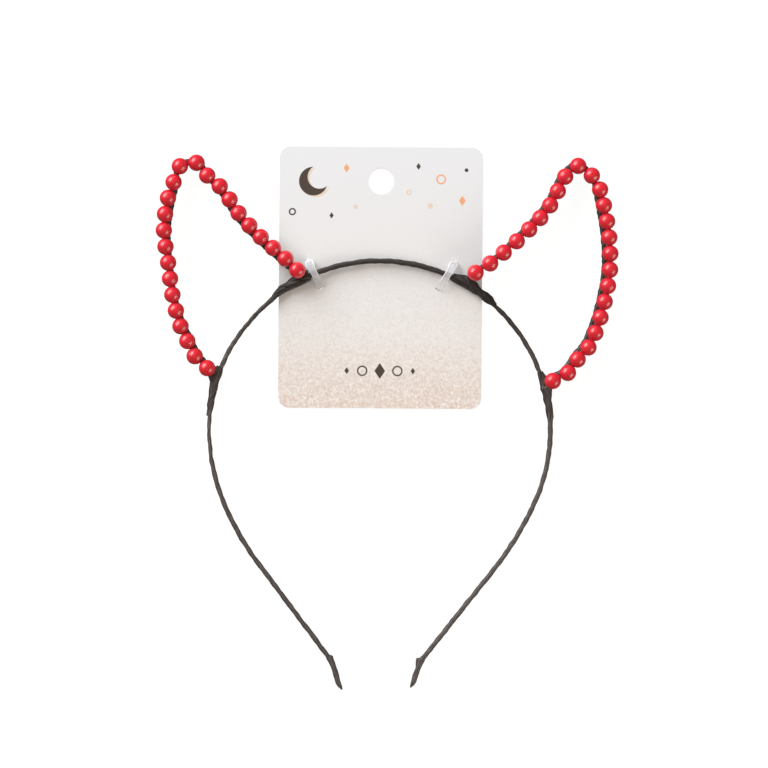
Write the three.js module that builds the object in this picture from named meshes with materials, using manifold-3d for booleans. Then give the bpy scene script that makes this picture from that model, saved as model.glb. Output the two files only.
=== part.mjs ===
import Module from 'manifold-3d';
import * as THREE from 'three';
import { mergeVertices } from 'three/addons/utils/BufferGeometryUtils.js';

// A wire headband with two open, beaded horns, tied to its display card and lying on the card's back.
// Lengths are millimetres. Places on the round part of the band are angles in degrees from the top
// of the arch. X runs from ear to ear, Y from the band's tips to the horns, Z up off the table.

// Wire and the ribbon wound round it
const gap = 0.3; // room between pieces that touch
const wireWidth = 1.0; // bare steel wire, under the ribbon
const ribbonWall = 0.4; // ribbon wound over a joint, at its usual thickness
const fullestWall = 1.5; // share of that wall where a joint is fattest

// Band
const bandRadius = 64.2;
const roundEnd = 114.7; // where the round part passes into the leg
const easeRadius = 130; // slower bend between the round part and the straight leg
const easeEnd = 127.8;
const leftRun = 41.5;
const rightRun = 40.4;
const archWidth = 2.2;
const legWidth = 1.9;

// End caps of folded ribbon
const capLength = 12.4;
const capWall = 0.25;
const capTurn = 21; // a cap turns this much nearer to straight down than its leg

// Horns
const hornHeight = 58;
const frameWidth = 2.0;
const footLength = 4; // end of the horn's wire that lies along the band
const beadWidth = 6.0;
const threadWidth = 1.0;
const threadDrop = 1.2; // how far the thread's end reaches past the last bead

// Display card
const cardWidth = 76.2;
const cardHeight = 98;
const cardThickness = 0.5;
const cardCorner = 4.1;
const cardRise = 8.9; // lower edge of the card, above the middle of the band's round part
const hangHoleWidth = 9.8;
const hangHoleDrop = 12.9;

// Plastic ties
const strapWidth = 2.5;
const strapThickness = 0.5;
const tieSpan = 11.5;
const leftTieAt = 22.7;
const rightTieAt = 23.1;
const rightTieSkew = 5; // the right tie isn't quite square across the band

// How finely the shapes are cut
const roundStep = 6; // degrees between rings of the band
const frameStep = 2.8; // millimetres between rings of a horn's wire
const seatStep = 0.5; // millimetres between places where a bead's seat on the wire is tried
const beadStep = 0.05; // millimetres between places where the next bead is tried
const bandSides = 8;
const frameSides = 6;
const beadSides = 10;
const bindingSides = 10;
const strapCurveSteps = 5;
const cardCurveSteps = 9;

// What follows from the sizes above
const footOffset = wireWidth + gap;
const boreRadius = wireWidth / 2 + gap;
const bindingReach = boreRadius + ribbonWall * fullestWall;
const capWidth = 2 * (boreRadius + capWall);
const cardTop = strapThickness + gap + cardThickness;
const wireLevel = cardTop + gap + Math.max(bindingReach, archWidth / 2, frameWidth / 2);
const tieSide = THREE.MathUtils.radToDeg((strapWidth / 2 + 2 * gap) / bandRadius);

// Each side of the headband: its tie, and its horn's two joints, with the ribbon wound on each.
// A joint's wire meets the band at "meets". Its binding runs from "start" to "end", and its rows are
// shares: "at" of that stretch, "foot" of the way out over the horn's wire, "wall" of the ribbon's wall.
// A horn's route is the line of its beads. Its rows are shares: "along" of the distance between the
// joints, "out" of the horn's height, and "lean" of the way that the wire lies to the horn's inside.
// The beads' slack is the room between the first two of a string and between the last two.
const leftSide = {
  name: 'left',
  sign: -1,
  run: leftRun,
  tie: { at: leftTieAt, skew: 0 },
  beadSlack: { first: 0.13, last: 0.13 },
  innerJoint: {
    meets: 29,
    start: leftTieAt + tieSide,
    end: 39.3,
    footSign: -1,
    rows: [
      { at: 0, foot: 0.6, wall: 1.1 },
      { at: 0.16, foot: 1, wall: 1.4 },
      { at: 0.38, foot: 1, wall: 1.5 },
      { at: 0.52, foot: 0.6, wall: 1.3 },
      { at: 0.76, foot: 0.35, wall: 1.1 },
      { at: 1, foot: 0, wall: 0.8 },
    ],
  },
  outerJoint: {
    meets: 71,
    start: 68,
    end: 85,
    footSign: 1,
    rows: [
      { at: 0, foot: 0.2, wall: 0.8 },
      { at: 0.12, foot: 0.9, wall: 1.2 },
      { at: 0.3, foot: 1, wall: 1.3 },
      { at: 0.5, foot: 0.8, wall: 1 },
      { at: 0.72, foot: 0.25, wall: 0.9 },
      { at: 1, foot: 0, wall: 0.6 },
    ],
  },
  route: [
    { along: -0.069, out: 0.044, lean: 0.36 },
    { along: -0.078, out: 0.153, lean: 0.5 },
    { along: -0.081, out: 0.362, lean: 0.48 },
    { along: -0.111, out: 0.565, lean: 0.48 },
    { along: -0.149, out: 0.669, lean: 0.44 },
    { along: -0.179, out: 0.77, lean: 0.3 },
    { along: -0.18, out: 0.88, lean: 0 },
    { along: -0.203, out: 0.982, lean: -0.24 },
    { along: -0.087, out: 1.052, lean: -0.34 },
    { along: 0.043, out: 1.014, lean: 0.3 },
    { along: 0.166, out: 0.977, lean: 0.48 },
    { along: 0.387, out: 0.862, lean: 0.4 },
    { along: 0.565, out: 0.705, lean: 0.13 },
    { along: 0.739, out: 0.552, lean: 0.13 },
    { along: 0.889, out: 0.383, lean: 0.36 },
    { along: 0.946, out: 0.286, lean: 0.46 },
    { along: 1.001, out: 0.184, lean: 0.4 },
    { along: 1.009, out: 0.055, lean: 0.2 },
  ],
};

const rightSide = {
  name: 'right',
  sign: 1,
  run: rightRun,
  tie: { at: rightTieAt, skew: rightTieSkew },
  beadSlack: { first: 0.25, last: 0.03 },
  innerJoint: {
    meets: 32,
    start: rightTieAt + tieSide,
    end: 42.5,
    footSign: -1,
    rows: [
      { at: 0, foot: 0.2, wall: 1 },
      { at: 0.14, foot: 0.9, wall: 1.2 },
      { at: 0.36, foot: 1, wall: 1.5 },
      { at: 0.48, foot: 1, wall: 1.5 },
      { at: 0.62, foot: 0.5, wall: 1.3 },
      { at: 0.84, foot: 0.35, wall: 1 },
      { at: 1, foot: 0, wall: 0.8 },
    ],
  },
  outerJoint: {
    meets: 74,
    start: 69,
    end: 87.2,
    footSign: 1,
    rows: [
      { at: 0, foot: 0, wall: 0.8 },
      { at: 0.14, foot: 0.4, wall: 1 },
      { at: 0.26, foot: 1, wall: 1.3 },
      { at: 0.46, foot: 1, wall: 1.1 },
      { at: 0.62, foot: 0.4, wall: 1 },
      { at: 1, foot: 0, wall: 0.8 },
    ],
  },
  route: [
    { along: -0.073, out: 0.074, lean: -0.1 },
    { along: -0.063, out: 0.188, lean: -0.14 },
    { along: -0.079, out: 0.408, lean: -0.28 },
    { along: -0.096, out: 0.516, lean: -0.38 },
    { along: -0.117, out: 0.619, lean: -0.42 },
    { along: -0.151, out: 0.716, lean: -0.43 },
    { along: -0.207, out: 0.812, lean: -0.42 },
    { along: -0.265, out: 0.904, lean: -0.4 },
    { along: -0.275, out: 1.011, lean: -0.36 },
    { along: -0.141, out: 1.047, lean: -0.1 },
    { along: -0.008, out: 1.035, lean: 0.4 },
    { along: 0.112, out: 0.994, lean: 0.48 },
    { along: 0.344, out: 0.9, lean: 0.54 },
    { along: 0.558, out: 0.78, lean: 0.55 },
    { along: 0.741, out: 0.628, lean: 0.55 },
    { along: 0.897, out: 0.463, lean: 0.6 },
    { along: 0.959, out: 0.37, lean: 0.62 },
    { along: 0.984, out: 0.269, lean: 0.54 },
    { along: 1.024, out: 0.172, lean: 0.48 },
    { along: 1, out: 0.042, lean: 0.3 },
  ],
};

// The two ends of the band turn in and narrow to a point. Rows are shares of the cap's length, of
// its width and of its turn.
const capRows = [
  { at: 0, width: 1, turn: 0 },
  { at: 0.12, width: 1.12, turn: 0.2 },
  { at: 0.24, width: 1.06, turn: 0.7 },
  { at: 0.45, width: 1, turn: 1 },
  { at: 0.84, width: 0.94, turn: 1 },
  { at: 1, width: 0.3, turn: 1 },
];
const capCoreRows = 4; // the band's wire ends at this row, inside the cap

const wasm = await Module();
wasm.setup();

const up = new THREE.Vector3(0, 0, 1);

const ribbonMaterial = new THREE.MeshStandardMaterial({ color: 0x3d3733, roughness: 0.62 });
const beadMaterial = new THREE.MeshStandardMaterial({ color: 0xc81f2b, roughness: 0.1 });
const cardMaterial = new THREE.MeshStandardMaterial({ color: 0xe9e1da, roughness: 0.8 });
const strapMaterial = new THREE.MeshStandardMaterial({
  color: 0xf1f1f3,
  roughness: 0.35,
  transparent: true,
  opacity: 0.7,
});

// A point on a circle about the middle of the band's round part
function onCircle(radius, angle, sign) {
  const turn = THREE.MathUtils.degToRad(angle);
  return new THREE.Vector3(sign * radius * Math.sin(turn), radius * Math.cos(turn), wireLevel);
}

// Evenly spaced numbers from one to another, no further apart than the step
function spread(from, to, step) {
  const steps = Math.max(1, Math.ceil(Math.abs(to - from) / step));
  return Array.from({ length: steps + 1 }, (_, index) => THREE.MathUtils.lerp(from, to, index / steps));
}

// The way that a row of rings runs at one of them, from its neighbours that stand elsewhere
function headingAt(rings, index) {
  const { place } = rings[index];
  const apart = (ring) => ring.place.distanceTo(place) > 1e-6;
  const before = rings.slice(0, index).findLast(apart) ?? rings[index];
  const after = rings.slice(index + 1).find(apart) ?? rings[index];
  return new THREE.Vector3().subVectors(after.place, before.place).normalize();
}

// A closed rod through a row of rings: a straight unit cylinder whose rings are moved one by one.
// A ring has a place, its half widths across and deep, and may have a heading of its own.
function rodThrough(rings, sides) {
  const lengths = rings.length - 1;
  const rod = new THREE.CylinderGeometry(1, 1, 1, sides, lengths);
  const frames = rings.map((ring, index) => {
    const heading = ring.heading ?? headingAt(rings, index);
    const side = new THREE.Vector3().crossVectors(heading, up).normalize();
    return { side, top: new THREE.Vector3().crossVectors(side, heading) };
  });
  const places = rod.getAttribute('position');
  const point = new THREE.Vector3();
  for (let index = 0; index < places.count; index += 1) {
    point.fromBufferAttribute(places, index);
    const number = Math.round((0.5 + point.y) * lengths);
    const { place, across, deep } = rings[number];
    const moved = place
      .clone()
      .addScaledVector(frames[number].side, point.x * across)
      .addScaledVector(frames[number].top, point.z * deep);
    places.setXYZ(index, moved.x, moved.y, moved.z);
  }
  return closedShape(rod);
}

// Only positions, with shared corners, so that the faces close on each other
function closedShape(geometry) {
  geometry.deleteAttribute('normal');
  geometry.deleteAttribute('uv');
  return mergeVertices(geometry);
}

function toSolid(geometry) {
  const vertProperties = new Float32Array(geometry.getAttribute('position').array);
  const triVerts = new Uint32Array(geometry.index.array);
  return new wasm.Manifold(new wasm.Mesh({ numProp: 3, vertProperties, triVerts }));
}

function toGeometry(solid) {
  const { vertProperties, triVerts } = solid.getMesh();
  const geometry = new THREE.BufferGeometry();
  geometry.setAttribute('position', new THREE.BufferAttribute(vertProperties, 3));
  geometry.setIndex(new THREE.BufferAttribute(triVerts, 1));
  return geometry;
}

function namedMesh(name, geometry, material) {
  geometry.computeVertexNormals();
  const mesh = new THREE.Mesh(geometry, material);
  mesh.name = name;
  return mesh;
}

function wireRing(place) {
  return { place, across: wireWidth / 2, deep: wireWidth / 2 };
}

function boreRing(place) {
  return { place, across: boreRadius, deep: boreRadius };
}

// Rings of the band along its round part
function arcRings(sign, from, to, ringAt) {
  return spread(from, to, roundStep).map((angle) => ringAt(onCircle(bandRadius, angle, sign), angle));
}

// The ribboned band at an angle: fullest at the top of the arch, slimmer at the sides
function ribbonedRing(place, angle) {
  const half = THREE.MathUtils.lerp(archWidth, legWidth, Math.min(angle / 90, 1)) / 2;
  return { place, across: half, deep: half };
}

// The leg below the round part: where it starts, its slower bend and its straight run
function legRings({ sign, run }) {
  const bendCentre = onCircle(bandRadius - easeRadius, roundEnd, sign);
  const bendPoint = (angle) => onCircle(easeRadius, angle, sign).add(bendCentre).setZ(wireLevel);
  const angles = spread(roundEnd, easeEnd, roundStep).slice(1);
  const bend = angles.map((angle) => ribbonedRing(bendPoint(angle), angle));
  const foot = bendPoint(easeEnd).addScaledVector(downLeg(sign, 0), run);
  return [...bend, ribbonedRing(foot, easeEnd)];
}

// The way down a leg, turned by some degrees towards straight down
function downLeg(sign, turn) {
  const angle = THREE.MathUtils.degToRad(easeEnd - 90 - turn);
  return new THREE.Vector3(-sign * Math.sin(angle), -Math.cos(angle), 0);
}

// Middle line of an end cap, one place for each of its rows
function capPlaces(side) {
  const start = legRings(side).at(-1).place;
  const places = [start];
  for (const [index, row] of capRows.slice(1).entries()) {
    const before = capRows[index];
    const turn = (capTurn * (before.turn + row.turn)) / 2;
    const step = capLength * (row.at - before.at);
    places.push(places.at(-1).clone().addScaledVector(downLeg(side.sign, turn), step));
  }
  return places;
}

// Half of the band from the top of the arch out. It narrows to the bare wire inside each binding
// and inside the end cap.
function halfBandRings(side) {
  const { sign, innerJoint, outerJoint } = side;
  const room = THREE.MathUtils.radToDeg(gap / bandRadius);
  const rings = [];
  let from = 0;
  for (const joint of [innerJoint, outerJoint]) {
    const [start, end] = [joint.start - room, joint.end + room];
    rings.push(...arcRings(sign, from, start, ribbonedRing));
    rings.push(...arcRings(sign, start, end, wireRing));
    from = end;
  }
  rings.push(...arcRings(sign, from, roundEnd, ribbonedRing), ...legRings(side));
  rings.push(...capPlaces(side).slice(0, capCoreRows).map(wireRing));
  return rings;
}

function makeBand() {
  const left = halfBandRings(leftSide).reverse().slice(0, -1);
  return namedMesh('band', rodThrough([...left, ...halfBandRings(rightSide)], bandSides), ribbonMaterial);
}

// A cap's outer shape, with a bore for the band's wire
function makeCap(side) {
  const places = capPlaces(side);
  const back = downLeg(side.sign, 0);
  places[0] = places[0].clone().addScaledVector(back, gap);
  const outer = places.map((place, index) => {
    const half = (capWidth * capRows[index].width) / 2;
    return { place, across: half, deep: half };
  });
  const core = places.slice(0, capCoreRows).map(boreRing);
  const mouth = boreRing(places[0].clone().addScaledVector(back, -capWidth));
  const last = core.at(-1);
  const end = boreRing(last.place.clone().addScaledVector(downLeg(side.sign, capTurn), gap));
  const bore = rodThrough([mouth, ...core, end], bandSides);
  const solid = toSolid(rodThrough(outer, bandSides)).subtract(toSolid(bore));
  return namedMesh(`${side.name}_end_cap`, toGeometry(solid), ribbonMaterial);
}

// The line of a horn's beads, seen from above
function hornRoute(side) {
  const inner = onCircle(bandRadius, side.innerJoint.meets, side.sign);
  const outer = onCircle(bandRadius, side.outerJoint.meets, side.sign);
  const along = new THREE.Vector3().subVectors(outer, inner);
  const out = new THREE.Vector3().crossVectors(along, up).setLength(-side.sign * hornHeight);
  const placeOf = (row) => inner.clone().addScaledVector(along, row.along).addScaledVector(out, row.out);
  return new THREE.CatmullRomCurve3(side.route.map(placeOf));
}

// One foot of the horn's wire lies along the band, and bends out of its side to meet the horn
function footPlaces(side, joint, wireEnd) {
  const footRadius = bandRadius + footOffset;
  const turn = THREE.MathUtils.radToDeg(footLength / footRadius) * joint.footSign;
  const bendShare = 0.4;
  const tip = onCircle(footRadius, joint.meets + turn, side.sign);
  const middle = onCircle(footRadius, joint.meets + (turn * (1 + bendShare)) / 2, side.sign);
  const heel = onCircle(footRadius, joint.meets + turn * bendShare, side.sign);
  const corner = onCircle(footRadius, joint.meets, side.sign);
  const bend = new THREE.QuadraticBezierCurve3(heel, corner, wireEnd);
  return [tip, middle, ...bend.getPoints(5).slice(0, -1)];
}

// Middle line of a horn's whole wire, foot to foot
function frameLine(side) {
  const route = hornRoute(side);
  const seat = (beadWidth + frameWidth) / 2 + gap;
  const share = 1 / (side.route.length - 1);
  const wire = side.route.map((row, index) => {
    const heading = route.getTangent(index * share);
    const inside = new THREE.Vector3().crossVectors(heading, up).multiplyScalar(side.sign);
    return route.getPoint(index * share).addScaledVector(inside, row.lean * seat);
  });
  const first = footPlaces(side, side.innerJoint, wire[0]);
  const last = footPlaces(side, side.outerJoint, wire.at(-1)).reverse();
  return new THREE.CatmullRomCurve3([...first, ...wire, ...last], false, 'centripetal');
}

// Places along a curve, about as far apart as the step
function placesAlong(curve, step) {
  return curve.getSpacedPoints(Math.round(curve.getLength() / step));
}

// How far a place in the band's plane is outside the bindings
function beyondBinding(place) {
  return Math.hypot(place.x, place.y) - (bandRadius + footOffset + bindingReach);
}

// The wire is bare up to where it leaves its binding, and ribboned beyond
function makeFrame(side) {
  const rings = placesAlong(frameLine(side), frameStep).map((place) => {
    const beyond = beyondBinding(place) - gap;
    const half = THREE.MathUtils.clamp(wireWidth / 2 + beyond, wireWidth / 2, frameWidth / 2);
    return { place, across: half, deep: half };
  });
  return namedMesh(`${side.name}_horn_frame`, rodThrough(rings, frameSides), ribbonMaterial);
}

// The height at which a bead comes to rest on the wire and the bindings below it
function restingPlace(place, wirePlaces) {
  const heights = wirePlaces.map((wirePlace) => {
    const below = beyondBinding(wirePlace) < 0 ? bindingReach : frameWidth / 2;
    const seat = beadWidth / 2 + below + gap;
    return Math.sqrt(Math.max(0, seat ** 2 - place.distanceToSquared(wirePlace)));
  });
  return place.clone().add(new THREE.Vector3(0, 0, Math.max(...heights)));
}

// Bead middles, a bead and its slack apart along the route and each at rest on the wire
function beadPlaces(side) {
  const wirePlaces = placesAlong(frameLine(side), seatStep);
  const tries = placesAlong(hornRoute(side), beadStep);
  const places = [tries[0]];
  tries.forEach((place, index) => {
    const slack = THREE.MathUtils.lerp(side.beadSlack.first, side.beadSlack.last, index / tries.length);
    if (place.distanceTo(places.at(-1)) >= beadWidth + slack) {
      places.push(place);
    }
  });
  return places.map((place) => restingPlace(place, wirePlaces));
}

// One string: round beads on a thread, whose ends reach down to the bindings
function makeBeads(side) {
  const middles = beadPlaces(side).map((place) => ({ place }));
  const beadRadius = beadWidth / 2;
  const holeLatitude = Math.asin(threadWidth / beadWidth);
  const between = [1, 2, 3, 4, 5].map((step) => (step * Math.PI) / 6);
  const latitudes = [holeLatitude, ...between, Math.PI - holeLatitude];
  const rings = middles.flatMap(({ place }, index) => {
    const heading = headingAt(middles, index);
    return latitudes.map((latitude) => {
      const half = beadRadius * Math.sin(latitude);
      const ringPlace = place.clone().addScaledVector(heading, -beadRadius * Math.cos(latitude));
      return { place: ringPlace, heading, across: half, deep: half };
    });
  });
  const ends = [threadEnd(rings.at(0), -1), threadEnd(rings.at(-1), 1)];
  const geometry = rodThrough([ends[0], ...rings, ends[1]], beadSides);
  return namedMesh(`${side.name}_horn_beads`, geometry, beadMaterial);
}

// The thread slants down out of an end bead and stops just above the binding
function threadEnd(ring, way) {
  const outwards = ring.heading.clone().multiplyScalar(way);
  const place = ring.place.clone().addScaledVector(outwards, threadDrop);
  place.z = wireLevel + bindingReach + gap + threadWidth / 2;
  const heading = ring.heading.clone().addScaledVector(up, -way).normalize();
  return { place, heading, across: threadWidth / 2, deep: threadWidth / 2 };
}

// A sleeve of wound ribbon round the band's wire and the horn's foot
function makeBinding(side, joint, place) {
  const angleAt = (share) => THREE.MathUtils.lerp(joint.start, joint.end, share);
  const sleeve = joint.rows.map((row) => {
    const half = boreRadius + ribbonWall * row.wall;
    const over = footOffset * row.foot;
    return {
      place: onCircle(bandRadius + over / 2, angleAt(row.at), side.sign),
      across: half + over / 2,
      deep: half,
    };
  });
  const bandBore = arcRings(side.sign, joint.start - roundStep, joint.end + roundStep, boreRing);
  const solid = toSolid(rodThrough(sleeve, bindingSides))
    .subtract(toSolid(rodThrough(bandBore, bandSides)))
    .subtract(toSolid(footBore(side, joint)));
  return namedMesh(`${side.name}_${place}_binding`, toGeometry(solid), ribbonMaterial);
}

// Room for the horn's bare wire, from past the end of its foot to outside the binding
function footBore(side, joint) {
  const places = placesAlong(frameLine(side), frameStep);
  if (joint === side.outerJoint) {
    places.reverse();
  }
  const outside = places.findIndex((place) => beyondBinding(place) > 0);
  const foot = places.slice(0, outside + 2);
  const behind = new THREE.Vector3().subVectors(foot[0], foot[1]).setLength(gap);
  return rodThrough([foot[0].clone().add(behind), ...foot].map(boreRing), bandSides);
}

// Outline of a tie seen along the band, flat under the card and arched over the band
function strapOutline(inset) {
  const half = tieSpan / 2 - inset;
  const base = inset;
  const top = wireLevel + archWidth / 2 + gap + strapThickness - inset;
  const crown = archWidth / 2 + gap;
  return { half, base, top, crown };
}

function traceStrap(path, { half, base, top, crown }) {
  path.moveTo(-half, base);
  path.lineTo(half, base);
  path.lineTo(half, cardTop);
  path.quadraticCurveTo(half, top, crown, top);
  path.lineTo(-crown, top);
  path.quadraticCurveTo(-half, top, -half, cardTop);
  path.closePath();
  return path;
}

function makeTie(side) {
  const ring = traceStrap(new THREE.Shape(), strapOutline(0));
  ring.holes.push(traceStrap(new THREE.Path(), strapOutline(strapThickness)));
  const cut = { depth: strapWidth, bevelEnabled: false, curveSegments: strapCurveSteps };
  const geometry = new THREE.ExtrudeGeometry(ring, cut);
  geometry.translate(0, 0, -strapWidth / 2);
  geometry.rotateX(Math.PI / 2);
  const mesh = namedMesh(`${side.name}_tie`, closedShape(geometry), strapMaterial);
  mesh.position.copy(onCircle(bandRadius, side.tie.at, side.sign)).setZ(0);
  mesh.rotation.z = tieTurn(side);
  return mesh;
}

// A tie lies square across the band, apart from its own skew
function tieTurn({ sign, tie }) {
  return THREE.MathUtils.degToRad(90 - sign * (tie.at + tie.skew));
}

// Rounded sheet with a hanging hole and two slots for each tie
function makeCard() {
  const [right, bottom] = [cardWidth / 2, cardRise];
  const top = bottom + cardHeight;
  const sheet = new THREE.Shape();
  sheet.absarc(right - cardCorner, top - cardCorner, cardCorner, 0, Math.PI / 2);
  sheet.absarc(-right + cardCorner, top - cardCorner, cardCorner, Math.PI / 2, Math.PI);
  sheet.absarc(-right + cardCorner, bottom + cardCorner, cardCorner, Math.PI, Math.PI * 1.5);
  sheet.absarc(right - cardCorner, bottom + cardCorner, cardCorner, Math.PI * 1.5, Math.PI * 2);
  const hangHole = new THREE.Path().absarc(0, top - hangHoleDrop, hangHoleWidth / 2, 0, Math.PI * 2);
  sheet.holes.push(hangHole, ...[leftSide, rightSide].flatMap(tieSlots));
  const cut = { depth: cardThickness, bevelEnabled: false, curveSegments: cardCurveSteps };
  const geometry = new THREE.ExtrudeGeometry(sheet, cut);
  geometry.translate(0, 0, strapThickness + gap);
  return namedMesh('card', closedShape(geometry), cardMaterial);
}

function tieSlots(side) {
  const middle = onCircle(bandRadius, side.tie.at, side.sign).setZ(0);
  const halfLong = strapWidth / 2 + gap;
  const halfWide = strapThickness / 2 + gap;
  return [-1, 1].map((end) => {
    const reach = (end * (tieSpan - strapThickness)) / 2;
    const corners = [
      [reach - halfWide, -halfLong],
      [reach + halfWide, -halfLong],
      [reach + halfWide, halfLong],
      [reach - halfWide, halfLong],
    ].map(([x, y]) => new THREE.Vector3(x, y, 0).applyAxisAngle(up, tieTurn(side)).add(middle));
    return new THREE.Path(corners.map(({ x, y }) => new THREE.Vector2(x, y)));
  });
}

const headband = new THREE.Group();
headband.add(makeBand(), makeCard());
for (const side of [leftSide, rightSide]) {
  headband.add(makeFrame(side), makeBeads(side));
  headband.add(makeBinding(side, side.innerJoint, 'inner'), makeBinding(side, side.outerJoint, 'outer'));
  headband.add(makeCap(side), makeTie(side));
}

// The origin is the middle of the underside of the whole
const bounds = new THREE.Box3().setFromObject(headband, true);
const middle = bounds.getCenter(new THREE.Vector3());
headband.position.set(-middle.x, -middle.y, -bounds.min.z);

const model = new THREE.Group();
model.add(headband);

export default model;
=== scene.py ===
# %% [markdown]
# # A headband with open horns, tied to its card
#
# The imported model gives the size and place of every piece: a steel wire bent to a headband, two horns of
# thinner wire, strings of round beads, ribbon wound over the joints, a card and two plastic ties. In this
# notebook each of them gets its real surface. All lengths are in millimetres, measured from the middle of
# the band's round part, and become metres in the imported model's frame when a mesh is made.

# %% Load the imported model
import math

import bpy
import numpy as np
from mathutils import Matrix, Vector, noise


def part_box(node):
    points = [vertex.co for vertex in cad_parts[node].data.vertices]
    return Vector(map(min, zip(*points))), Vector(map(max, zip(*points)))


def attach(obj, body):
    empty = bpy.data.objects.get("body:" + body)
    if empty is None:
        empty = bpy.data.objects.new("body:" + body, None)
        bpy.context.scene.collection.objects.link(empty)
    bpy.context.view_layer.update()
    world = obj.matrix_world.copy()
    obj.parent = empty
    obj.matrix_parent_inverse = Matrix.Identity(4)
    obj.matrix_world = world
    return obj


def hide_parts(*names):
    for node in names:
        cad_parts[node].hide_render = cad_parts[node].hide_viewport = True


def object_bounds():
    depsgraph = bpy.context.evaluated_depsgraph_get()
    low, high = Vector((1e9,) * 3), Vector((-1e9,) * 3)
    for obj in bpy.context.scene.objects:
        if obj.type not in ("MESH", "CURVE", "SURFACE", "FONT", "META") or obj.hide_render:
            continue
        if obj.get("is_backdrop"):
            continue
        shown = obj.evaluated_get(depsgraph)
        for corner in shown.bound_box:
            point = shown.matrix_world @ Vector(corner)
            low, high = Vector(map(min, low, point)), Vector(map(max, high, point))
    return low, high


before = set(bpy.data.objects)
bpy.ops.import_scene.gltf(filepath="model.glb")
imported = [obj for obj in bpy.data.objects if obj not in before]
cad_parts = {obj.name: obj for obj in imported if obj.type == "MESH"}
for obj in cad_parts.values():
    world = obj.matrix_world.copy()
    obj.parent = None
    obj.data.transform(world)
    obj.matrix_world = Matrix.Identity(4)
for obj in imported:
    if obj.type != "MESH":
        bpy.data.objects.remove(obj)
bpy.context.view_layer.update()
print("nodes to dress:", ", ".join(sorted(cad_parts)))

# %% Where the band's middle is
MM = 0.001
CARD_RISE = 8.9
card_low, card_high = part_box("card")
BAND_MIDDLE = np.array([(card_low.x + card_high.x) / 2, card_low.y - CARD_RISE * MM, 0.0])
SIDES = {"left": -1, "right": 1}
UP = np.array([0.0, 0.0, 1.0])
print("middle of the band's round part:", BAND_MIDDLE.round(5))

# %% [markdown]
# ## Two ways to make a mesh
#
# Wire, ribbon, thread and strap are all long things with a cross-section that changes along them. Blender's
# curves can be given a bevel, but a bevel keeps one shape. So a skin is stretched through rings of points,
# and each ring can be moved point by point. The winding of a ribbon is kept as a UV map, because a material
# can then follow the ribbon round the wire wherever it goes.

# %% A skin through rings
def unit(vectors):
    return vectors / np.linalg.norm(vectors, axis=-1, keepdims=True)


def headings_of(line):
    """The way a line of points runs at each of them."""
    return unit(np.gradient(line, axis=0))


def make_mesh(name, points, faces):
    mesh = bpy.data.meshes.new(name)
    mesh.from_pydata((points * MM + BAND_MIDDLE).tolist(), [], faces, shade_flat=False)
    return mesh


def write_points(mesh, name, values):
    """A number for each point of a mesh, for its material."""
    mesh.attributes.new(name, "FLOAT", "POINT").data.foreach_set("value", values.ravel().astype(np.float32))


def ring_faces(count, around, start=0):
    """Quads between rings, in the order that turns them outwards."""
    index = start + np.arange(count * around).reshape(count, around)
    beside = np.roll(index, -1, axis=1)
    return np.stack([index[:-1], beside[:-1], beside[1:], index[1:]], axis=-1).reshape(-1, 4)


def skin(name, rings, winding=None):
    """A closed tube through rings of points, with the ribbon's winding as its UV map."""
    count, around = rings.shape[:2]
    quads = ring_faces(count, around)
    ends = [list(range(around))[::-1], [(count - 1) * around + number for number in range(around)]]
    mesh = make_mesh(name, rings.reshape(-1, 3), quads.tolist() + ends)
    if winding is not None:
        corners = np.stack([winding[:-1, :-1], winding[:-1, 1:], winding[1:, 1:], winding[1:, :-1]], axis=2)
        closing = [winding[0, :-1][::-1], winding[-1, :-1]]
        flat = np.concatenate([corners.reshape(-1, 2), *closing])
        mesh.uv_layers.new(name="winding").data.foreach_set("uv", flat.ravel().astype(np.float32))
    return mesh


# %% A mesh becomes a piece of the model
def add_piece(name, mesh, finish, slot, *nodes):
    """Puts a mesh on the model in place of its plain solids."""
    mesh.materials.append(finish)
    piece = bpy.data.objects.new(name, mesh)
    bpy.context.scene.collection.objects.link(piece)
    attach(piece, "root")
    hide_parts(*nodes)
    corners = np.array(piece.bound_box) / MM
    print(f"{name}: {len(mesh.polygons)} faces, {np.ptp(corners, axis=0).round(1)} mm")
    return piece


# %% [markdown]
# ## Shader maths as plain sums
#
# A material is a net of nodes, and most of them only add and multiply. A small class that wraps a socket
# lets those be written as ordinary sums, so that a formula can be read in one line.

# %% Sockets that can be added and multiplied
class Signal:
    """One output of a node."""

    def __init__(self, finish, socket):
        self.finish = finish
        self.socket = socket

    def maths(self, operation, *values):
        sockets = dict(enumerate(values))
        return self.finish.node("ShaderNodeMath", {"operation": operation}, sockets)

    def __add__(self, other):
        return self.maths("ADD", self, other)

    def __sub__(self, other):
        return self.maths("SUBTRACT", self, other)

    def __mul__(self, other):
        return self.maths("MULTIPLY", self, other)

    def __radd__(self, other):
        return self.maths("ADD", other, self)

    def __rsub__(self, other):
        return self.maths("SUBTRACT", other, self)

    def __rmul__(self, other):
        return self.maths("MULTIPLY", other, self)

    def part(self):
        return self.maths("FRACT", self)

    def size(self):
        return self.maths("ABSOLUTE", self)

    def root(self):
        return self.maths("SQRT", self)

    def wave(self):
        return self.maths("SINE", self)

    def smaller(self, other):
        return self.maths("MINIMUM", self, other)

    def larger(self, other):
        return self.maths("MAXIMUM", self, other)

    def rise(self, low, high):
        """A smooth step from 0 at low to 1 at high."""
        settings = {"interpolation_type": "SMOOTHSTEP"}
        sockets = {"Value": self, "From Min": low, "From Max": high}
        return self.finish.node("ShaderNodeMapRange", settings, sockets)


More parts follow.
